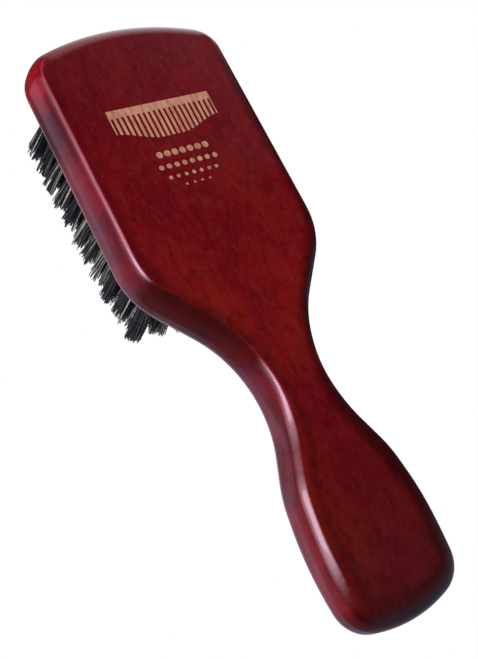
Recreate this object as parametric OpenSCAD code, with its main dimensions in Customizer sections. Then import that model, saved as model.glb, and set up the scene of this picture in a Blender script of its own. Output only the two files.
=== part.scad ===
// Barber's fade brush: a one-piece lacquered wooden body with a flat paddle head and a waisted
// handle, and tufts of bristle held in drilled blind holes by flat wire anchors.
// Millimetres. +Z is up out of the flat back, +Y points from the handle to the head.
// The origin is under the middle of the brush, in the plane of the bristle tips.

/* [Body] */
// Overall length, from the handle's end to the crown of the head
body_length = 175; // [174:0.5:190]
// Thickness of the wooden body
body_thickness = 13; // [12.5:0.5:18]
// Width of the head across its straight sides
head_width = 60.4; // [60:0.2:64]
// Radius that rounds the edge between the back and the side walls
back_edge_radius = 5; // [3:0.5:5.5]
// Radius that rounds the edge between the bristle face and the side walls
face_edge_radius = 5; // [3:0.5:5.5]

/* [Bristles] */
// Number of tuft rows from the handle side of the head to its crown
row_count = 11; // [6:1:11]
// Number of tufts across each row
column_count = 7; // [3:1:7]
// Distance between neighbouring rows
row_pitch = 5.8; // [5.6:0.1:6.2]
// Distance between neighbouring tufts in a row
column_pitch = 7.3; // [5.6:0.1:7.3]
// Distance from the handle's end to the first row
first_row_at = 101.5; // [101.5:0.5:104]
// Length of bristle that stands out of the face
bristle_length = 20; // [10:0.5:24]
// Radius of a tuft at its tips
tuft_tip_radius = 2.65; // [1.6:0.05:2.7]
// Radius of the drilled hole that holds a tuft
hole_radius = 1.5; // [1.1:0.05:1.5]
// Depth of the drilled hole
hole_depth = 7.5; // [5:0.5:8]

/* [Anchors] */
// Width of an anchor wire, cut a little wider than the hole so that it bites the wood
anchor_width = 3.8; // [3.4:0.1:4.2]
// Height of an anchor wire, measured along the hole
anchor_height = 1.6; // [1:0.1:2]
// Thickness of an anchor wire
anchor_thickness = 0.35; // [0.25:0.05:0.5]

/* [Hidden] */
$fn = 96;

// Crown of the head and end of the handle: shallow arcs, each given by its radius and by how far
// the arc's tangent lines rise between the corner and the centre line.
crown_radius = 75;
crown_rise = 10;
heel_radius = 40;
heel_rise = 4.7;
heel_half_width = 17.3;
head_half_width = head_width / 2;

// Height of a shallow arc's apex vertex above the arc itself.
function apex_gap(radius, rise, half_width) = radius * (1 / sin(atan(half_width / rise)) - 1);

crown_apex = body_length + apex_gap(crown_radius, crown_rise, head_half_width);
heel_apex = -apex_gap(heel_radius, heel_rise, heel_half_width);

// Right half of the outline, from the heel to the crown, as corners [x, y, rounding radius].
// y is the distance from the end of the handle.
heel_corner = [heel_half_width, heel_apex + heel_rise, 9.6];
grip_bulge = [18.9, 21.8, 96];
grip_taper = [16.2, 39.6, 36];
neck = [6.7, 63.4, 36];
shoulder_slope = [14.7, 81.7, 34];
shoulder = [head_half_width, 100.2, 22];
crown_corner = [head_half_width, crown_apex - crown_rise, 9.3];
right_side = [heel_corner, grip_bulge, grip_taper, neck, shoulder_slope, shoulder, crown_corner];

// The whole outline, counter-clockwise: heel, right side, crown, then the right side mirrored.
outline = concat(
  [[0, heel_apex, heel_radius]],
  right_side,
  [[0, crown_apex, crown_radius]],
  [for (i = [len(right_side) - 1:-1:0]) [-right_side[i].x, right_side[i].y, right_side[i].z]]
);
corner_count = len(outline);

// How far a chord of the outline may fall inside its true arc.
chord_error = 0.02;
// Flat steps in each rounded edge of the body.
edge_steps = 7;

face_z = bristle_length;
back_z = bristle_length + body_thickness;
hole_top = face_z + hole_depth;
// Bristle that loops over the anchor, between the anchor and the blind end of the hole.
fold_height = 0.8;
anchor_z = hole_top - fold_height - anchor_height;
// A tuft is a hair slimmer than its hole.
root_radius = hole_radius - 0.02;
// Height of the rounded-over ends of the bristles at a tuft's rim.
tip_bevel = 0.8;

wood_colour = [0.42, 0.06, 0.08];
bristle_colour = [0.10, 0.10, 0.12];
wire_colour = [0.72, 0.70, 0.66];

function two_digits(i) = str(i < 10 ? "0" : "", i);
function row_name(prefix, i) = str(prefix, two_digits(i));

// ---- Geometry of the rounded outline ----

function spot(i) = let (c = outline[(i + corner_count) % corner_count]) [c.x, c.y];
function radius_at(i) = outline[(i + corner_count) % corner_count].z;
function towards(a, b) = (b - a) / norm(b - a);
// Half of the angle between the two edges that meet at corner i.
function half_angle(i) = acos(towards(spot(i), spot(i - 1)) * towards(spot(i), spot(i + 1))) / 2;
function tangent_length(i) = radius_at(i) / tan(half_angle(i));
function arc_turn(i) = 180 - 2 * half_angle(i);
function arc_start(i) = spot(i) + towards(spot(i), spot(i - 1)) * tangent_length(i);
function arc_centre(i) =
  let (inward = towards(spot(i), spot(i - 1)) + towards(spot(i), spot(i + 1)))
  spot(i) + inward / norm(inward) * radius_at(i) / sin(half_angle(i));
function heading(a, b) = atan2(b.y - a.y, b.x - a.x);
// A corner is convex when the outline turns left there.
function is_convex(i) =
  let (a = spot(i) - spot(i - 1), b = spot(i + 1) - spot(i)) a.x * b.y - a.y * b.x > 0;

// Points of corner i's arc between two fractions of its length, moved inward by inset.
function arc_points(i, inset, begin = 0, finish = 1) =
  let (
    sense = is_convex(i) ? 1 : -1,
    turn = arc_turn(i) * (finish - begin),
    steps = ceil(turn / (2 * acos(1 - chord_error / radius_at(i)))),
    from = heading(arc_centre(i), arc_start(i)) + sense * arc_turn(i) * begin,
    r = radius_at(i) - sense * inset
  )
  [for (k = [0:steps])
    let (a = from + sense * turn * k / steps)
    arc_centre(i) + r * [cos(a), sin(a)]];

// The right half of the outline, from the heel's middle to the crown's middle.
crown_index = len(right_side) + 1;
function right_half(inset) = concat(
  arc_points(0, inset, begin = 0.5),
  [for (i = [1:len(right_side)]) each arc_points(i, inset)],
  arc_points(crown_index, inset, finish = 0.5)
);

// The whole outline at a height, counter-clockwise, with the left half mirrored from the right.
half_count = len(right_half(0));
ring_count = 2 * half_count - 2;
function ring(inset, z) =
  let (half = right_half(inset))
  [for (k = [0:ring_count - 1])
    let (p = half[k < half_count ? k : ring_count - k])
    [k < half_count ? p.x : -p.x, p.y - body_length / 2, z]];

// ---- Wooden body ----

// Insets and heights of the rings, from the bristle face up to the back.
levels = concat(
  [for (k = [0:edge_steps])
    let (a = 90 * k / edge_steps)
    [face_edge_radius * (1 - sin(a)), face_z + face_edge_radius * (1 - cos(a))]],
  [for (k = [0:edge_steps])
    let (a = 90 * k / edge_steps)
    [back_edge_radius * (1 - cos(a)), back_z - back_edge_radius * (1 - sin(a))]]
);
last_level = len(levels) - 1;

function at(level, k) = level * ring_count + (k + ring_count) % ring_count;

// The solid blank, before drilling: rings joined by walls, and closed by two flat faces.
module body_blank() {
  points = [for (level = levels) each ring(level[0], level[1])];
  walls = [
    for (level = [0:last_level - 1], k = [0:ring_count - 1])
      [at(level, k), at(level + 1, k), at(level + 1, k + 1), at(level, k + 1)]
  ];
  middle = [for (k = [1:half_count - 3]) k];
  back = concat(
    [[at(last_level, 0), at(last_level, -1), at(last_level, 1)]],
    [for (k = middle)
      [at(last_level, -k), at(last_level, -k - 1), at(last_level, k + 1), at(last_level, k)]],
    [[
      at(last_level, half_count), at(last_level, half_count - 1), at(last_level, half_count - 2)
    ]]
  );
  face = concat(
    [[at(0, 0), at(0, 1), at(0, -1)]],
    [for (k = middle) [at(0, k), at(0, k + 1), at(0, -k - 1), at(0, -k)]],
    [[at(0, half_count - 2), at(0, half_count - 1), at(0, half_count)]]
  );
  polyhedron(points = points, faces = concat(walls, back, face));
}

// ---- Tufts and anchors ----

function row_y(row) = first_row_at - body_length / 2 + (row - 1) * row_pitch;
function column_x(column) = (column - (column_count - 1) / 2) * column_pitch;

// Places its children at every tuft of one row.
module along_row(row) {
  for (column = [0:column_count - 1])
    translate([column_x(column), row_y(row), 0]) children();
}

module anchor() {
  translate([-anchor_width / 2, -anchor_thickness / 2, anchor_z])
    cube([anchor_width, anchor_thickness, anchor_height]);
}

// A blind hole, open at the face.
module tuft_hole() {
  translate([0, 0, face_z - 1]) cylinder(r = hole_radius, h = hole_depth + 1);
}

// One bundle of bristles: straight in its hole, then spreading to its tips.
module tuft() {
  difference() {
    rotate_extrude()
      polygon([
        [0, 0],
        [tuft_tip_radius - tip_bevel, 0],
        [tuft_tip_radius, tip_bevel],
        [root_radius, face_z],
        [root_radius, hole_top],
        [0, hole_top]
      ]);
    anchor();
  }
}

module wooden_body() {
  color(wood_colour)
    difference() {
      body_blank();
      for (row = [1:row_count])
        along_row(row) {
          tuft_hole();
          anchor();
        }
    }
}

module tuft_row(row) {
  color(bristle_colour) along_row(row) tuft();
}

module anchor_row(row) {
  color(wire_colour) along_row(row) anchor();
}

wooden_body();
for (row = [1:row_count]) {
  tuft_row(row);
  anchor_row(row);
}
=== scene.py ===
"""Looks of the fade brush: a lacquered wooden body, bristle tufts and their wire anchors."""
import math
import random

import bpy
import numpy as np
from mathutils import Euler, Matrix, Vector
from mathutils.geometry import delaunay_2d_cdt


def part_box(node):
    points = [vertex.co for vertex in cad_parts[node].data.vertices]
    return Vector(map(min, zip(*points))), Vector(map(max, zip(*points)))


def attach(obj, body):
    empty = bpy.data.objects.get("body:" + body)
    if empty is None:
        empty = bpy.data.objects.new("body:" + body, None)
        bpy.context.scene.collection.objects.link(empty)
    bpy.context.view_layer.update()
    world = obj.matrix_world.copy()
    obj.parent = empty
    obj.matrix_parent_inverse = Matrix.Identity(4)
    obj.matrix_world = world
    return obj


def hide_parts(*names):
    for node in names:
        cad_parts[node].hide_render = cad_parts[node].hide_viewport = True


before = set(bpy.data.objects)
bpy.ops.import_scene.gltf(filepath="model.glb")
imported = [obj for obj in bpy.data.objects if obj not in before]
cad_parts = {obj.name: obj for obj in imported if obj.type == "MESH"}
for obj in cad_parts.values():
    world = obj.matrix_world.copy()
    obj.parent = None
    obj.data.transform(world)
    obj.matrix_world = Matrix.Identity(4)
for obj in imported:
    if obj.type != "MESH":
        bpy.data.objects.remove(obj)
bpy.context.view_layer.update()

MM = 0.001
BODY = "root"
ROWS = sorted(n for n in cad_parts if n.startswith("tuft_row_"))
COLUMNS = 7

# The wooden body's box gives its length, thickness and the heights of its two faces.
body_low, body_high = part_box("wooden_body")
LENGTH = (body_high.y - body_low.y) / MM
HALF_HEAD = body_high.x / MM
FACE_Z = body_low.z / MM
BACK_Z = body_high.z / MM
FACE_EDGE = 5.0  # radius of the edge round the bristle face

# The back's edge: on the head a tight ridge over a bulging wall, on the handle one soft round.
RIDGE_RADIUS = 2.1
RIDGE_TURN = 48.0
BULGE_RADIUS = 9.0
GRIP_RADIUS = 5.0
HEEL_RADIUS = 5.7  # the round at the handle's end
FLAT_BAND = (0.8, 1.9, 3.3)  # insets of the rings on the flat back, where shade is painted along its edge

# The drilled holes and the bristle bundles in them, in millimetres.
HOLE_RADIUS = 1.5
HOLE_DEPTH = 7.5
HOLE_SIDES = 28
MOUTH_CHAMFER = 0.15
ROOT_RADIUS = 1.25
TIP_RADIUS = 2.95


# ---- Small helpers for meshes ----

def add_mesh(name, verts, faces, material, normals=None):
    """A mesh object, from points in millimetres, that rides on the one body."""
    mesh = bpy.data.meshes.new(name)
    mesh.from_pydata([tuple(c * MM for c in v) for v in verts], [], faces)
    mesh.materials.append(material)
    mesh.polygons.foreach_set("use_smooth", [True] * len(mesh.polygons))
    if normals is not None:
        mesh.normals_split_custom_set(normals)
    mesh.update()
    obj = bpy.data.objects.new(name, mesh)
    bpy.context.scene.collection.objects.link(obj)
    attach(obj, BODY)
    return obj


# ---- Wooden body ----

def apex_gap(radius, rise, half_width):
    """How far a shallow arc's corner point stands beyond the arc."""
    return radius * (1 / math.sin(math.atan(half_width / rise)) - 1)


def outline_corners():
    """The right half of the outline, heel to crown: corners (x, y, rounding radius), y from the heel."""
    crown_radius, crown_rise = 75.0, 10.0
    heel_radius, heel_rise, heel_half = 40.0, 4.7, 17.3
    crown = LENGTH + apex_gap(crown_radius, crown_rise, HALF_HEAD)
    heel = -apex_gap(heel_radius, heel_rise, heel_half)
    return [
        (0, heel, heel_radius),
        (heel_half, heel + heel_rise, 9.6),
        (18.9, 21.8, 96),
        (16.2, 39.6, 36),
        (6.7, 63.4, 36),
        (14.7, 81.7, 34),
        (HALF_HEAD, 100.2, 22),
        (HALF_HEAD, crown - crown_rise, 9.3),
        (0, crown, crown_radius),
    ]


def rounded_outline(step=1.2, turn_step=2.0):
    """Points and outward normals round the whole outline, counter-clockwise, centred on the origin."""
    half = outline_corners()
    loop = half + [(-x, y, r) for x, y, r in half[-2:0:-1]]
    count = len(loop)
    arcs = []
    for i, (x, y, radius) in enumerate(loop):
        here = np.array((x, y))
        back = np.array(loop[i - 1][:2]) - here
        ahead = np.array(loop[(i + 1) % count][:2]) - here
        back /= np.linalg.norm(back)
        ahead /= np.linalg.norm(ahead)
        half_angle = math.acos(back @ ahead) / 2
        inward = (back + ahead) / np.linalg.norm(back + ahead)
        centre = here + inward * radius / math.sin(half_angle)
        start = here + back * radius / math.tan(half_angle) - centre
        convex = -back[0] * ahead[1] + back[1] * ahead[0] > 0
        sense = 1 if convex else -1
        turn = math.pi - 2 * half_angle
        steps = max(2, math.ceil(max(math.degrees(turn) / turn_step, turn * radius / step)))
        first = math.atan2(start[1], start[0])
        angles = first + sense * turn * np.linspace(0, 1, steps + 1)
        rays = np.c_[np.cos(angles), np.sin(angles)]
        arcs.append((centre + radius * rays, sense * rays))
    points, normals = [], []
    for i, (arc, rays) in enumerate(arcs):
        points.append(arc)
        normals.append(rays)
        gap = arcs[(i + 1) % count][0][0] - arc[-1]
        pieces = int(np.linalg.norm(gap) / step)
        for k in range(1, pieces):
            points.append((arc[-1] + gap * k / pieces)[None])
            normals.append(rays[-1][None])
    points = np.vstack(points) - (0, LENGTH / 2)
    return points, np.vstack(normals)


def smooth(value, low, high):
    """Smooth step of value from 0 at low to 1 at high."""
    t = min(1.0, max(0.0, (value - low) / (high - low)))
    return t * t * (3 - 2 * t)


def back_edge(tilt, y, sideways):
    """Inset and drop of the back's edge where its normal leans by tilt degrees from straight up."""
    a, turn = math.radians(tilt), math.radians(min(tilt, RIDGE_TURN))
    end = math.radians(RIDGE_TURN)
    ridge_in = RIDGE_RADIUS * math.sin(end) + BULGE_RADIUS * (1 - math.sin(end))
    inset = ridge_in - RIDGE_RADIUS * math.sin(turn)
    drop = RIDGE_RADIUS * (1 - math.cos(turn))
    if tilt > RIDGE_TURN:
        inset -= BULGE_RADIUS * (math.sin(a) - math.sin(end))
        drop += BULGE_RADIUS * (math.cos(end) - math.cos(a))
    # 1 on the head, with its ridge, and 0 on the softer handle and crown.
    head = smooth(y, -34.0, -20.0) * (1 - smooth(y, 60.0, 80.0) * smooth(1 - sideways, 0.2, 0.7))
    soft = GRIP_RADIUS + (HEEL_RADIUS - GRIP_RADIUS) * smooth(-y, 58.0, 76.0)
    soft_inset, soft_drop = soft * (1 - math.sin(a)), soft * (1 - math.cos(a))
    return soft_inset + head * (inset - soft_inset), soft_drop + head * (drop - soft_drop)


def side_rings(outline, outward, face_steps=14, back_steps=26):
    """Rings from the face's edge, up the wall, onto the flat back.

    Each is its points, and its normals' outward and upward parts.
    """
    rings = []
    for tilt in np.linspace(180, 90, face_steps + 1):
        a = math.radians(tilt)
        inset, z = FACE_EDGE * (1 - math.sin(a)), FACE_Z + FACE_EDGE * (1 + math.cos(a))
        rings.append(([(*point, z) for point in outline - outward * inset], math.sin(a), math.cos(a)))
    for tilt in np.linspace(90, 0, back_steps + 1):
        a = math.radians(tilt)
        ring = []
        for point, normal in zip(outline, outward):
            inset, drop = back_edge(tilt, point[1], abs(normal[0]))
            ring.append((*(point - normal * inset), BACK_Z - drop))
        rings.append((ring, math.sin(a), math.cos(a)))
    rim = np.array(rings[-1][0])
    for inset in FLAT_BAND:
        band = rim[:, :2] - outward * inset
        rings.append(([(*point, BACK_Z) for point in band], 0.0, 1.0))
    return rings


def tuft_places():
    """(row, column) to the tuft's centre in millimetres, read from the CAD rows' boxes."""
    places = {}
    for row, node in enumerate(ROWS):
        low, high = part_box(node)
        y = (low.y + high.y) / 2 / MM
        reach = high.x / MM - (high.y - low.y) / 2 / MM
        for column in range(COLUMNS):
            places[row, column] = (reach * (2 * column / (COLUMNS - 1) - 1), y)
    return places


def inner_triangles(loop, circles=()):
    """Triangles of the flat area inside loop and outside the circles: indices into loop + circles."""
    points = [Vector(p) for p in loop]
    edges = [(i, (i + 1) % len(loop)) for i in range(len(loop))]
    for circle in circles:
        first = len(points)
        points += [Vector(p) for p in circle]
        edges += [(first + k, first + (k + 1) % len(circle)) for k in range(len(circle))]
    centres = [sum((Vector(p) for p in circle), Vector((0, 0))) / len(circle) for circle in circles]
    reach = [(Vector(circle[0]) - centre).length * 0.99 for circle, centre in zip(circles, centres)]
    out, _, faces, origins, _, _ = delaunay_2d_cdt(points, edges, [], 1, 1e-6)
    kept = []
    for face in faces:
        middle = sum((out[i] for i in face), Vector((0, 0))) / len(face)
        if all((middle - c).length > r for c, r in zip(centres, reach)):
            kept.append(tuple(origins[i][0] for i in face))
    return kept


class Shell:
    """Points, faces and corner normals of a mesh in the making."""

    def __init__(self):
        self.verts = []
        self.faces = []
        self.normals = []

    def add_points(self, points):
        """Adds points and returns the index of the first."""
        first = len(self.verts)
        self.verts.extend(points)
        return first

    def add_face(self, indices, normals):
        self.faces.append(list(indices))
        self.normals.extend(normals)

    def add_flat(self, indices, normal):
        """Adds a face with the same normal at all its corners."""
        indices = list(indices)
        self.add_face(indices, [normal] * len(indices))


def add_walls(shell, rings, outward):
    """Quads between the rings, which are the shell's first points."""
    count = len(outward)

    def normal(level, k):
        _, out, up = rings[level]
        return outward[k][0] * out, outward[k][1] * out, up

    for level in range(len(rings) - 1):
        low, high = level * count, (level + 1) * count
        for k in range(count):
            after = (k + 1) % count
            corners = ((level, k), (level, after), (level + 1, after), (level + 1, k))
            shell.add_face((low + k, low + after, high + after, high + k),
                           [normal(*corner) for corner in corners])


def add_back(shell, top):
    """The flat back, inside the last ring, which starts at the point top."""
    for triangle in inner_triangles([v[:2] for v in shell.verts[top:]]):
        shell.add_flat([top + i for i in triangle], (0, 0, 1))


def add_drilled_face(shell, count, places):
    """The bristle face, inside the first ring of count points, with a blind hole for each tuft."""
    turns = [2 * math.pi * k / HOLE_SIDES for k in range(HOLE_SIDES)]
    rays = [(math.cos(a), math.sin(a)) for a in turns]
    mouth = HOLE_RADIUS + MOUTH_CHAMFER
    mouths = [[(cx + mouth * a, cy + mouth * b) for a, b in rays] for cx, cy in places.values()]
    first_mouth = shell.add_points((*point, FACE_Z) for circle in mouths for point in circle)
    indices = list(range(count)) + list(range(first_mouth, len(shell.verts)))
    for triangle in inner_triangles([v[:2] for v in shell.verts[:count]], mouths):
        shell.add_flat([indices[i] for i in reversed(triangle)], (0, 0, -1))
    for hole, centre in enumerate(places.values()):
        add_hole(shell, first_mouth + hole * HOLE_SIDES, centre, rays)


def add_hole(shell, mouth, centre, rays):
    """A chamfer from the mouth's points, a straight wall and a flat blind end."""
    ring = list(range(mouth, mouth + HOLE_SIDES))
    for z, down in ((FACE_Z + MOUTH_CHAMFER, -0.7), (FACE_Z + HOLE_DEPTH, 0.0)):
        circle = [(centre[0] + HOLE_RADIUS * a, centre[1] + HOLE_RADIUS * b, z) for a, b in rays]
        first = shell.add_points(circle)
        deeper = list(range(first, first + HOLE_SIDES))
        for k in range(HOLE_SIDES):
            after = (k + 1) % HOLE_SIDES
            shell.add_face((ring[k], deeper[k], deeper[after], ring[after]),
                           [(-rays[j][0], -rays[j][1], down) for j in (k, k, after, after)])
        ring = deeper
    shell.add_flat(reversed(ring), (0, 0, -1))


def build_body(material, places):
    """The body: rounded side wall, flat back, and a face drilled with a blind hole for each tuft."""
    outline, outward = rounded_outline()
    count = len(outline)
    rings = side_rings(outline, outward)
    shell = Shell()
    for ring, _, _ in rings:
        shell.add_points(ring)
    add_walls(shell, rings, outward)
    add_back(shell, (len(rings) - 1) * count)
    add_drilled_face(shell, count, places)
    unit = [tuple(Vector(n).normalized()) for n in shell.normals]
    body = add_mesh("lacquered_body", shell.verts, shell.faces, material, unit)

    # How far inside the flat back a point is: 0 on the rounded edge, 1 within the band; the wood material
    # paints shade along the edge with it.
    inside = [0.0] * len(shell.verts)
    for k, inset in enumerate(FLAT_BAND):
        first = (len(rings) - len(FLAT_BAND) + k) * count
        inside[first:first + count] = [inset / FLAT_BAND[-1]] * count
    body.data.attributes.new("inside", "FLOAT", "POINT").data.foreach_set("value", inside)
    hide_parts("wooden_body")


# ---- Node helpers for materials ----

class Nodes:
    """Short calls for building a node tree."""

    def __init__(self, tree):
        self.tree = tree
        tree.nodes.clear()

    def add(self, kind, inputs=None, **settings):
        node = self.tree.nodes.new(kind)
        for key, value in settings.items():
            setattr(node, key, value)
        for key, value in (inputs or {}).items():
            self.put(node.inputs[key], value)
        return node

    def put(self, socket, value):
        if isinstance(value, bpy.types.NodeSocket):
            self.tree.links.new(value, socket)
        else:
            socket.default_value = value

    def math(self, op, a, b=0.0, clamp=False):
        node = self.add("ShaderNodeMath", operation=op, use_clamp=clamp)
        self.put(node.inputs[0], a)
        self.put(node.inputs[1], b)
        return node.outputs[0]

    def times(self, first, *others):
        """Product of all the values."""
        for value in others:
            first = self.math("MULTIPLY", first, value)
        return first

    def plus(self, first, *others):
        """Sum of all the values."""
        for value in others:
            first = self.math("ADD", first, value)
        return first

    def ramp(self, value, low, high, to_low=0.0, to_high=1.0):
        """Smooth step of value from low..high to to_low..to_high."""
        node = self.add("ShaderNodeMapRange", interpolation_type="SMOOTHSTEP")
        for key, v in enumerate((value, low, high, to_low, to_high)):
            self.put(node.inputs[key], v)
        return node.outputs[0]

    def mix(self, factor, a, b, blend="MIX"):
        node = self.add("ShaderNodeMix", data_type="RGBA", blend_type=blend)
        self.put(node.inputs[0], factor)
        self.put(node.inputs[6], a)
        self.put(node.inputs[7], b)
        return node.outputs[2]

    def noise(self, vector, scale, detail=3.0, roughness=0.5, distortion=0.0):
        node = self.add("ShaderNodeTexNoise", {"Vector": vector, "Scale": scale, "Detail": detail,
                                               "Roughness": roughness, "Distortion": distortion})
        return node.outputs[0]

    def stretched(self, vector, scale):
        node = self.add("ShaderNodeMapping", {"Vector": vector, "Scale": scale})
        return node.outputs[0]

    def separate(self, vector):
        """The vector's three components."""
        return self.add("ShaderNodeSeparateXYZ", {"Vector": vector}).outputs

    def finish(self, kind, inputs):
        """Adds the surface shader and connects it to the output."""
        shader = self.add(kind, inputs)
        self.put(self.add("ShaderNodeOutputMaterial").inputs["Surface"], shader.outputs[0])

    def bump(self, height, distance, strength=1.0, normal=None):
        node = self.add("ShaderNodeBump", {"Height": height, "Distance": distance, "Strength": strength})
        if normal is not None:
            self.put(node.inputs["Normal"], normal)
        return node.outputs[0]


def new_material(name):
    material = bpy.data.materials.new(name)
    material.use_nodes = True
    return material, Nodes(material.node_tree)


def rgb(r, g, b):
    return (r, g, b, 1.0)


# ---- Materials ----

def mark_mask(n, x, y, z):
    """Mask of the generic print on the back: a comb over four rows of dots that get smaller."""
    mark_half = 16.0
    spine_y, spine_half = 60.0, 1.2
    tooth_pitch, tooth_share = 1.6, 0.54
    dot_pitch = 2.4
    dot_rows = ((45.6, 0.95, 7), (41.9, 0.75, 8), (38.6, 0.55, 7), (35.8, 0.35, 4))  # y, radius, count
    past_left = 100  # whole cells added so that the fraction is taken of a positive number
    back_only = n.math("GREATER_THAN", z, BACK_Z - 0.05)

    def near(value, centre, half, soft=0.03):
        away = n.math("ABSOLUTE", n.math("SUBTRACT", value, centre))
        return n.ramp(away, half + soft, half - soft)

    def cell(pitch, shift):
        return n.math("FRACT", n.plus(n.math("DIVIDE", x, pitch), past_left + shift))

    width = near(x, 0.0, mark_half)
    spine = n.times(width, near(y, spine_y, spine_half))
    tooth = near(cell(tooth_pitch, 0.5), 0.5, tooth_share / 2, 0.02)
    tooth_tip = n.ramp(n.math("ABSOLUTE", x), 3.0, 16.5, 50.6, 54.0)
    below_spine = n.math("LESS_THAN", y, spine_y - 0.5)
    teeth = n.times(tooth, width, n.math("GREATER_THAN", y, tooth_tip), below_spine)
    mask = n.math("MAXIMUM", spine, teeth)
    for row_y, radius, count in dot_rows:
        half = count * dot_pitch / 2
        across = n.times(n.math("SUBTRACT", cell(dot_pitch, 0.5 if count % 2 else 0.0), 0.5), dot_pitch)
        along = n.math("SUBTRACT", y, row_y)
        distance = n.math("SQRT", n.plus(n.times(across, across), n.times(along, along)))
        dots = n.times(n.ramp(distance, radius + 0.03, radius - 0.03), near(x, 0.0, half, 0.01))
        mask = n.math("MAXIMUM", mask, dots)
    return n.times(mask, back_only)


def wood_patterns(n, place):
    """Noise patterns that run along the brush, from the broad figure down to single fibres."""
    def pattern(along, scale, detail, roughness, distortion):
        return n.noise(n.stretched(place, (1.0, along, 1.0)), scale, detail, roughness, distortion)

    return {
        "warmth": pattern(0.60, 48.0, 3.0, 0.55, 0.4),
        "figure": pattern(0.40, 85.0, 4.0, 0.60, 0.5),
        "blotch": pattern(0.80, 130.0, 3.0, 0.60, 0.5),
        "mottle": pattern(0.70, 330.0, 3.0, 0.65, 0.6),
        "streaks": pattern(0.22, 480.0, 4.0, 0.70, 0.9),
        "bloom": pattern(0.50, 620.0, 2.0, 0.50, 0.2),
        "fibres": pattern(0.45, 1000.0, 3.0, 0.65, 0.8),
    }


def grain_colour(n, wood, x, y):
    """Stained grain, with warmer heartwood up the left of the handle and in the lower half of the head."""
    left = n.times(n.ramp(x, 2.0, -13.0, -0.14, 0.16), n.ramp(y, -15.0, -35.0))
    lower = n.times(n.ramp(y, 50.0, 5.0, -0.12, 0.13), n.ramp(y, -35.0, -15.0))
    heart = n.plus(left, lower, wood["warmth"])
    deep = rgb(0.126, 0.0020, 0.0054)
    middle = rgb(0.168, 0.0028, 0.0054)
    warm = rgb(0.204, 0.0078, 0.0034)
    dark_streak = rgb(0.078, 0.0006, 0.0020)
    dark_spot = rgb(0.094, 0.0016, 0.0030)
    pink_fleck = rgb(0.170, 0.0145, 0.0185)
    pale_fibre = rgb(0.190, 0.0150, 0.0150)
    pore = rgb(0.045, 0.0006, 0.0014)
    flecks = n.ramp(wood["bloom"], 0.46, 0.70, 0.0, n.ramp(y, -45.0, -10.0, 0.22, 0.38))
    pores = n.times(n.ramp(wood["fibres"], 0.46, 0.34), n.ramp(wood["streaks"], 0.42, 0.58), 0.25)
    colour = n.mix(n.ramp(wood["figure"], 0.36, 0.66), deep, middle)
    colour = n.mix(n.ramp(heart, 0.42, 0.74, 0.0, 0.9), colour, warm)
    colour = n.mix(n.ramp(wood["streaks"], 0.50, 0.72, 0.0, 0.40), colour, dark_streak)
    colour = n.mix(n.ramp(wood["mottle"], 0.46, 0.66, 0.0, 0.66), colour, dark_spot)
    colour = n.mix(flecks, colour, pink_fleck)
    colour = n.mix(n.ramp(wood["fibres"], 0.48, 0.74, 0.0, 0.30), colour, pale_fibre)
    return n.mix(pores, colour, pore)


def wall_blotches_and_ridge_highlight(n, wood, colour, y, slope, wall):
    """Blotchy stain on the side walls, and a painted highlight: lighter pink along the ridge on both sides
    of the head.
    """
    colour = n.mix(n.times(wall, n.ramp(wood["blotch"], 0.44, 0.62, 0.0, 0.8)), colour,
                   rgb(0.235, 0.0068, 0.0115))
    # Painted highlight: lighter pink along the head's ridge, where the softbox's highlight lies.
    ridge = n.times(n.ramp(slope[2], 0.74, 0.84), n.ramp(slope[2], 0.965, 0.90))
    head_side = n.times(n.ramp(n.math("ABSOLUTE", slope[0]), 0.15, 0.4), n.ramp(y, -34.0, -20.0),
                        n.ramp(slope[1], -0.30, -0.05))
    ridge_highlight_paint = n.times(ridge, head_side, n.ramp(wood["blotch"], 0.30, 0.65, 0.3, 0.75))
    return n.mix(ridge_highlight_paint, colour, rgb(0.460, 0.043, 0.090))


def painted_shade_and_stain(n, wood, colour, x, y, slope, wall):
    """Painted shade near the flat back's edge (most on the right, away from the light), on surfaces facing
    the heel and down the handle, where a browner stain also lies; a little darker facing the crown.
    """
    inside = n.add("ShaderNodeAttribute", attribute_name="inside").outputs["Fac"]
    uneven = n.times(n.math("SUBTRACT", wood["figure"], 0.5), 1.2)
    # Painted shade along the flat back's edge, deeper on the right side, away from the light.
    rim = n.ramp(n.plus(inside, uneven), 0.0, 0.85, n.ramp(x, -6.0, 6.0, 0.66, 0.40), 1.0)
    rim = n.math("MAXIMUM", rim, n.ramp(y, 58.0, 82.0, 0.3, 1.0))
    # Painted shade where the surface turns towards the heel, away from the light; a little darker where it
    # turns towards the crown.
    heel_end = n.ramp(slope[1], -0.85, -0.05, 0.50, 1.0)
    crown_end = n.ramp(slope[1], 0.05, 0.85, 1.0, 0.9)
    towards_heel = n.ramp(slope[1], -0.40, -0.02, 0.52, 1.0)
    shade = n.times(rim, heel_end, crown_end, towards_heel)
    # Darker towards both ends, most down the handle: painted shade, and on the handle partly a browner
    # stain; less on the handle's walls.
    length = n.times(n.ramp(y, -90.0, -5.0, 0.50, 1.0), n.ramp(y, 20.0, 88.0, 1.0, 0.84))
    length = n.math("MAXIMUM", length, n.times(wall, n.ramp(y, -65.0, -45.0, 0.85, 0.60)))
    red = n.times(shade, length)
    other = n.times(shade, n.math("POWER", length, 0.3))
    tone = n.add("ShaderNodeCombineXYZ", {"X": red, "Y": other, "Z": other}).outputs[0]
    return n.mix(1.0, colour, tone, "MULTIPLY")


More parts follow.
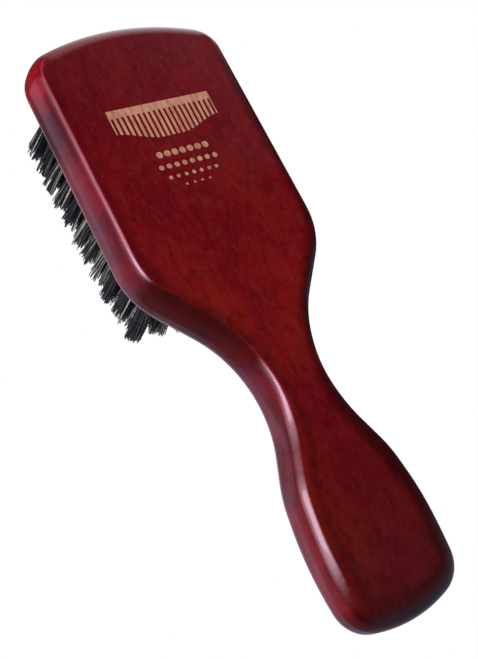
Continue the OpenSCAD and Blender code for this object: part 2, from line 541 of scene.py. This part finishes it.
def painted_wall_reflections_and_shade(n, wood, colour, x, y, slope, wall):
    """Painted reflections as long light and dark patches on the head's walls, painted shade on the
    shoulders, and darker neck walls.
    """
    # Painted reflections: long light and dark patches along the head's walls.
    patch_pitch, patch_start = 32.0, 41.5
    place = n.plus(y, n.times(x, 0.3), n.times(wood["figure"], 12.0))
    wave = n.math("COSINE", n.times(n.math("SUBTRACT", place, patch_start), math.tau / patch_pitch))
    dark = n.ramp(y, 35.0, 55.0, 0.66, 0.42)
    light = n.ramp(y, 60.0, 76.0, 1.25, 1.65)
    patch = n.ramp(wave, -0.9, 0.9, dark, light)
    shoulder = n.times(n.ramp(y, -18.0, -8.0), n.ramp(y, 16.0, 8.0))
    neck = n.times(n.ramp(y, -54.0, -46.0), n.ramp(y, -10.0, -18.0))
    patch = n.mix(shoulder, patch, rgb(1.10, 1.10, 1.10))
    patch = n.mix(neck, patch, rgb(0.70, 0.70, 0.70))
    area = n.times(wall, n.ramp(y, -58.0, -50.0))
    colour = n.mix(area, colour, n.mix(1.0, colour, patch, "MULTIPLY"))
    # Painted shade: the shoulders' bending walls, which face away from the light, go towards near black.
    bend = n.times(n.ramp(slope[2], 0.05, 0.45), n.ramp(slope[2], 0.995, 0.93))
    return n.mix(n.times(shoulder, bend, 0.45), colour, rgb(0.020, 0.004, 0.004))


def printed(n, place, colour, mark):
    """The tan print over the stain, a little worn."""
    wear = n.noise(n.stretched(place, (1.0, 0.15, 1.0)), 1500.0, 3.0, 0.6)
    ink = n.mix(n.ramp(wear, 0.35, 0.75), rgb(0.62, 0.32, 0.20), rgb(0.42, 0.17, 0.12))
    return n.mix(n.times(mark, n.ramp(wear, 0.30, 0.85, 1.0, 0.75)), colour, ink)


def lacquer_surface(n, place, wall):
    """Normal of the lacquer: long waves, ripples on the side walls and a fine orange peel."""
    waves = n.noise(place, 38.0, 1.0, 0.4)
    ripples = n.times(n.noise(n.stretched(place, (1.0, 0.5, 1.0)), 130.0, 1.0, 0.4), wall)
    peel = n.noise(place, 900.0, 2.0, 0.5)
    surface = n.bump(waves, 0.0012, 0.35)
    surface = n.bump(ripples, 0.0005, 0.6, surface)
    return n.bump(peel, 0.00004, 0.25, surface)


def lacquered_wood():
    """Red-stained hardwood with lengthwise grain and pores under a glossy clear lacquer."""
    material, n = new_material("lacquered_wood")
    coordinates = n.add("ShaderNodeTexCoord").outputs
    place = coordinates["Object"]  # in metres
    per_metre = 1 / MM
    x, y, z = n.separate(n.stretched(place, (per_metre, per_metre, per_metre)))
    slope = n.separate(coordinates["Normal"])
    wall = n.ramp(slope[2], 0.85, 0.45)
    wood = wood_patterns(n, place)
    colour = grain_colour(n, wood, x, y)
    colour = wall_blotches_and_ridge_highlight(n, wood, colour, y, slope, wall)
    colour = painted_shade_and_stain(n, wood, colour, x, y, slope, wall)
    colour = painted_wall_reflections_and_shade(n, wood, colour, x, y, slope, wall)
    colour = printed(n, place, colour, mark_mask(n, x, y, z))
    n.finish("ShaderNodeBsdfPrincipled", {
        "Base Color": colour,
        "Roughness": n.ramp(wood["mottle"], 0.3, 0.8, 0.07, 0.11),
        "IOR": 1.5,
        "Specular Tint": rgb(1.0, 0.69, 0.86),
        "Normal": lacquer_surface(n, place, wall),
    })
    return material


def bristle(name, dark, light, roughness):
    """One natural bristle colour, streaked along the strand, with a soft sheen."""
    material, n = new_material(name)
    place = n.add("ShaderNodeTexCoord").outputs["Object"]
    tone = n.noise(n.stretched(place, (1.0, 1.0, 0.06)), 4200.0, 2.0, 0.5)
    n.finish("ShaderNodeBsdfPrincipled", {
        "Base Color": n.mix(n.ramp(tone, 0.35, 0.7), rgb(*dark), rgb(*light)),
        "Roughness": n.ramp(tone, 0.2, 0.8, roughness - 0.06, roughness + 0.08),
        "IOR": 1.5,
        "Specular IOR Level": 0.45,
        "Normal": n.bump(n.noise(place, 9000.0, 2.0), 0.00001, 0.4),
    })
    return material


def bristle_materials():
    """Black, grey and cream bristle, in the order of the strands' material slots."""
    return [
        bristle("bristle_black", (0.006, 0.006, 0.009), (0.018, 0.018, 0.024), 0.42),
        bristle("bristle_grey", (0.080, 0.075, 0.069), (0.23, 0.215, 0.185), 0.46),
        bristle("bristle_cream", (0.23, 0.21, 0.17), (0.40, 0.365, 0.30), 0.48),
    ]


def anchor_wire():
    """Drawn steel wire with fine lines along it."""
    material, n = new_material("anchor_wire")
    place = n.add("ShaderNodeTexCoord").outputs["Object"]
    lines = n.noise(n.stretched(place, (0.05, 1.0, 1.0)), 6000.0, 3.0)
    n.finish("ShaderNodeBsdfPrincipled", {
        "Base Color": n.mix(lines, rgb(0.45, 0.44, 0.42), rgb(0.66, 0.64, 0.60)),
        "Metallic": 1.0,
        "Roughness": n.ramp(lines, 0.2, 0.8, 0.25, 0.45),
        "Normal": n.bump(lines, 0.00002, 0.4),
    })
    return material


def finish_anchors():
    """The CAD anchors keep their shape and get the wire material."""
    wire = anchor_wire()
    for name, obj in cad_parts.items():
        if name.startswith("anchor_row_"):
            obj.data.materials.clear()
            obj.data.materials.append(wire)


# ---- Bristles ----

SIDES = 4  # corners of a strand's cross-section
STRAND_RADIUS = 0.155
HAIRPINS = 96  # folded bristles in one tuft
CLUMPS = 24  # locks that they gather in
ANCHOR_SIDE = 0.33  # how far a leg keeps from the middle of the anchor wire
FOLD_Z = FACE_Z + HOLE_DEPTH - 0.30
LEG_TOP_Z = FOLD_Z - 0.9

# How the strands scatter, as standard deviations in millimetres or as shares of a length.
LOCK_SCATTER = 0.20
LOCK_SHORTER = 0.035
ROOT_SCATTER = 0.10
TIP_SCATTER = 0.26
TIP_SHORTER = 0.010
BOW_SCATTER = 0.10
STRAY_CHANCE, STRAY_SCATTER = 0.03, 0.8

# Colours: one of these shares of each tuft's locks is pale, and most pale locks are grey.
PALE_SHARES = (0.08, 0.16, 0.28, 0.42, 0.55)
GREY_SHARE = 0.7
SAME_COLOUR = 0.85  # share of a pale lock's strands that are pale


def sweep(path, radii, spin, mesh, slot):
    """Adds one tapered strand along path, closed at both ends."""
    verts, faces, slots = mesh
    first = len(verts)
    side = Vector((math.cos(spin), math.sin(spin), 0.0))
    for i, (point, radius) in enumerate(zip(path, radii)):
        ahead = (path[min(i + 1, len(path) - 1)] - path[max(i - 1, 0)]).normalized()
        side = (side - ahead * side.dot(ahead)).normalized()
        up = ahead.cross(side)
        for k in range(SIDES):
            a = 2 * math.pi * k / SIDES
            verts.append(point + (side * math.cos(a) + up * math.sin(a)) * radius)
    for i in range(len(path) - 1):
        a, b = first + i * SIDES, first + (i + 1) * SIDES
        for k in range(SIDES):
            after = (k + 1) % SIDES
            faces.append((a + k, a + after, b + after, b + k))
    faces.append(tuple(first + k for k in reversed(range(SIDES))))
    faces.append(tuple(len(verts) - SIDES + k for k in range(SIDES)))
    slots.extend([slot] * ((len(path) - 1) * SIDES + 2))


def make_clump(lean, flip, rng):
    """A lock of bristles within a tuft: where it is rooted, where its tip goes, and how far it reaches."""
    spread, angle = rng.random() ** 0.5, rng.uniform(0, math.pi)
    across, along = math.cos(angle) * spread, flip * math.sin(angle) * spread
    tip = (across * TIP_RADIUS + lean[0] + rng.gauss(0, LOCK_SCATTER),
           along * TIP_RADIUS + lean[1] + rng.gauss(0, LOCK_SCATTER))
    reach = FACE_Z * (1 - abs(rng.gauss(0, LOCK_SHORTER)))
    return (across * ROOT_RADIUS, along * ROOT_RADIUS), tip, reach


def leg(centre, clump, flip, rng, thick):
    """One leg of a hairpin, from its tip up to the hole: points and radii."""
    (root_x, root_y), (tip_x, tip_y), reach = clump
    root_x += rng.gauss(0, ROOT_SCATTER)
    root_y = flip * max(ANCHOR_SIDE, flip * root_y + rng.gauss(0, ROOT_SCATTER))
    tip_x += rng.gauss(0, TIP_SCATTER)
    tip_y += rng.gauss(0, TIP_SCATTER)
    reach *= 1 - abs(rng.gauss(0, TIP_SHORTER))
    if rng.random() < STRAY_CHANCE:
        tip_x += rng.gauss(0, STRAY_SCATTER)
        tip_y += rng.gauss(0, STRAY_SCATTER)
    bow_x, bow_y = rng.gauss(0, BOW_SCATTER), rng.gauss(0, BOW_SCATTER)
    path, radii = [], []
    for t in (1.0, 0.82, 0.62, 0.42, 0.24, 0.10, 0.0):
        ease, bow = t ** 0.72, math.sin(math.pi * t)
        x = centre[0] + root_x + (tip_x - root_x) * ease + bow_x * bow
        y = centre[1] + root_y + (tip_y - root_y) * ease + bow_y * bow
        path.append(Vector((x, y, FACE_Z - reach * t)))
        radii.append(thick * (0.70 + 0.30 * min(1.0, 3 * t)) * (1 - 0.15 * t ** 4))
    path.append(Vector((path[-1].x, path[-1].y, LEG_TOP_Z)))
    radii.append(thick * 0.70)
    return path, radii


def fold_shoulder(end, middle):
    """Where a hairpin starts to bend over the anchor."""
    return Vector((end.x * 0.6 + middle.x * 0.4, end.y * 0.8 + middle.y * 0.2, FOLD_Z - 0.3))


def build_tuft(centre, lean, rng, mesh):
    """A bundle of hairpin bristles: folded over the anchor, with one leg on each side of it."""
    pale = rng.choice(PALE_SHARES)
    for _ in range(CLUMPS):
        slot = 0
        if rng.random() < pale:
            slot = 1 if rng.random() < GREY_SHARE else 2
        front_clump, back_clump = make_clump(lean, 1, rng), make_clump(lean, -1, rng)
        for _ in range(HAIRPINS // CLUMPS):
            thick = STRAND_RADIUS * rng.uniform(0.80, 1.15)
            front, front_radii = leg(centre, front_clump, 1, rng, thick)
            back, back_radii = leg(centre, back_clump, -1, rng, thick)
            middle = (front[-1] + back[-1]) / 2
            fold = [fold_shoulder(front[-1], middle), Vector((middle.x, middle.y, FOLD_Z)),
                    fold_shoulder(back[-1], middle)]
            path = front + fold + back[::-1]
            radii = front_radii + [thick * 0.65] * 3 + back_radii[::-1]
            sweep(path, radii, rng.uniform(0, math.pi), mesh, slot if rng.random() < SAME_COLOUR else 0)


def build_bristles(places, materials):
    """One piece per row of tufts."""
    last = len(ROWS) - 1
    for row, node in enumerate(ROWS):
        rng = random.Random(1000 + row)
        mesh = ([], [], [])
        for column in range(COLUMNS):
            # The tufts lean outwards, and the rows near the handle lean towards it.
            across = 2 * column / (COLUMNS - 1) - 1
            to_handle = 1 - row / last
            inner = 1 - abs(across)
            lean_x = across * (1.2 - 1.6 * to_handle ** 3) + rng.gauss(0, 0.15)
            lean_y = -(2.5 + 2.0 * inner * to_handle ** 4) * to_handle ** 1.5 + rng.gauss(0, 0.15)
            build_tuft(places[row, column], (lean_x, lean_y), rng, mesh)
        verts, faces, slots = mesh
        piece = add_mesh(node.replace("tuft_row", "bristle_row"), verts, faces, materials[0])
        for extra in materials[1:]:
            piece.data.materials.append(extra)
        piece.data.polygons.foreach_set("material_index", slots)
        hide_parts(node)


# ---- Stage ----

def build_floor():
    """A plain white floor that shows white to the camera and lets reflections see the studio."""
    material, n = new_material("floor")
    camera_ray = n.add("ShaderNodeLightPath").outputs["Is Camera Ray"]
    from_below = n.add("ShaderNodeNewGeometry").outputs["Backfacing"]
    seen = n.math("SUBTRACT", camera_ray, from_below, clamp=True)
    white = n.add("ShaderNodeEmission", {"Color": rgb(1, 1, 1), "Strength": 1.0})
    clear = n.add("ShaderNodeBsdfTransparent")
    mixed = n.add("ShaderNodeMixShader", {0: seen, 1: clear.outputs[0], 2: white.outputs[0]})
    n.put(n.add("ShaderNodeOutputMaterial").inputs["Surface"], mixed.outputs[0])
    size, z = 3.0, -0.0006  # metres; just under the bristle tips
    mesh = bpy.data.meshes.new("floor")
    mesh.from_pydata([(-size, -size, z), (size, -size, z), (size, size, z), (-size, size, z)], [],
                     [(0, 1, 2, 3)])
    mesh.materials.append(material)
    floor = bpy.data.objects.new("floor", mesh)
    bpy.context.scene.collection.objects.link(floor)


def facing(azimuth, elevation):
    """Unit vector to an azimuth from +Y towards +X and an elevation, both in degrees."""
    a, e = math.radians(azimuth), math.radians(elevation)
    return Vector((math.sin(a) * math.cos(e), math.cos(a) * math.cos(e), math.sin(e)))


def build_world():
    """Studio surroundings: white to the camera, and pale panels on a dark room in reflections."""
    world = bpy.data.worlds.new("studio")
    bpy.context.scene.world = world
    world.use_nodes = True
    n = Nodes(world.node_tree)
    x, y, z = n.separate(n.add("ShaderNodeTexCoord").outputs["Generated"])
    azimuth = n.math("DEGREES", n.math("ARCTAN2", x, y))
    full_turn = n.math("FLOORED_MODULO", azimuth, 360.0)
    elevation = n.math("DEGREES", n.math("ARCSINE", z))

    def band(value, low, high, soft_low, soft_high):
        rise = n.ramp(value, low - soft_low, low + soft_low)
        fall = n.ramp(value, high - soft_high, high + soft_high, 1.0, 0.0)
        return n.times(rise, fall)

    def panel(strength, across, up, turn=azimuth):
        """A soft-edged panel: azimuth and elevation limits, each with the softness of both edges."""
        return n.times(band(turn, *across), band(elevation, *up), strength)

    room = 0.05
    left_highlight = panel(9.5, (-98, -54, 8, 20), (31, 62, 19, 7))
    left_low = panel(0.60, (-104, -48, 10, 12), (-62, -8, 16, 9))
    left_middle = panel(0.42, (-104, -48, 10, 12), (-8, 24, 9, 9))
    left_strip = panel(0.45, (-67, -50, 6, 6), (-50, 2, 14, 9))
    heel_side = panel(0.16, (200, 256, 20, 10), (-62, 0, 15, 20), full_turn)
    crown_side = panel(1.65, (17, 60, 12, 4), (-30, 33, 15, 22))
    right_side = panel(0.30, (97, 195, 10, 25), (-60, 48, 20, 28), full_turn)
    table = n.ramp(elevation, -48, -72, 0.0, 0.6)
    total = n.plus(left_highlight, room, left_low, left_middle, left_strip, heel_side, crown_side,
                   right_side, table)
    path = n.add("ShaderNodeLightPath")
    softened = n.math("SUBTRACT", 1.0, n.times(path.outputs["Is Diffuse Ray"], 0.6))
    neutral = n.math("MAXIMUM", n.ramp(elevation, 5, 40), band(azimuth, 0, 70, 12, 12))
    tint = n.mix(neutral, rgb(0.86, 0.88, 1.12), rgb(1.0, 0.95, 0.97))
    reflected = n.add("ShaderNodeBackground", {"Color": tint, "Strength": n.times(total, softened)})
    white = n.add("ShaderNodeBackground", {"Color": rgb(1, 1, 1), "Strength": 1.0})
    mixed = n.add("ShaderNodeMixShader", {0: path.outputs["Is Camera Ray"], 1: reflected.outputs[0],
                                          2: white.outputs[0]})
    n.put(n.add("ShaderNodeOutputWorld").inputs["Surface"], mixed.outputs[0])


def add_softbox(name, azimuth, elevation, distance, size, power):
    """A square soft light that faces the brush."""
    light = bpy.data.lights.new(name, "AREA")
    light.size = size
    light.energy = power
    light.color = (1.0, 0.97, 0.99)
    obj = bpy.data.objects.new(name, light)
    obj.location = facing(azimuth, elevation) * distance
    obj.rotation_euler = facing(azimuth, elevation).to_track_quat("Z", "Y").to_euler()
    obj.visible_camera = False
    bpy.context.scene.collection.objects.link(obj)
    return obj


def build_lights():
    """A softbox high on the left, and two fills whose reflections are kept out of the lacquer."""
    add_softbox("softbox_high", -76, 49, 3.0, 0.9, 15.0)
    low = add_softbox("softbox_low", -80, 13, 3.0, 1.6, 80.0)
    below = add_softbox("fill_below", -60, -55, 1.5, 1.0, 3.0)
    low.visible_glossy = below.visible_glossy = False


def build_camera():
    """The photograph's viewpoint, from a perspective fit of the outline; places in metres."""
    camera = bpy.data.cameras.new("camera")
    camera.lens = 52.2
    camera.sensor_width = 36.0
    camera.clip_start, camera.clip_end = 0.01, 20.0
    obj = bpy.data.objects.new("camera", camera)
    obj.location = (-0.1307, -0.0540, 0.2334)
    obj.rotation_euler = Euler([math.radians(a) for a in (24.93, -22.25, -29.10)], "XYZ")
    bpy.context.scene.collection.objects.link(obj)
    bpy.context.scene.camera = obj


def main():
    places = tuft_places()
    build_body(lacquered_wood(), places)
    build_bristles(places, bristle_materials())
    finish_anchors()
    build_floor()
    build_world()
    build_lights()
    build_camera()
    bpy.context.scene.view_settings.view_transform = "Standard"


main()
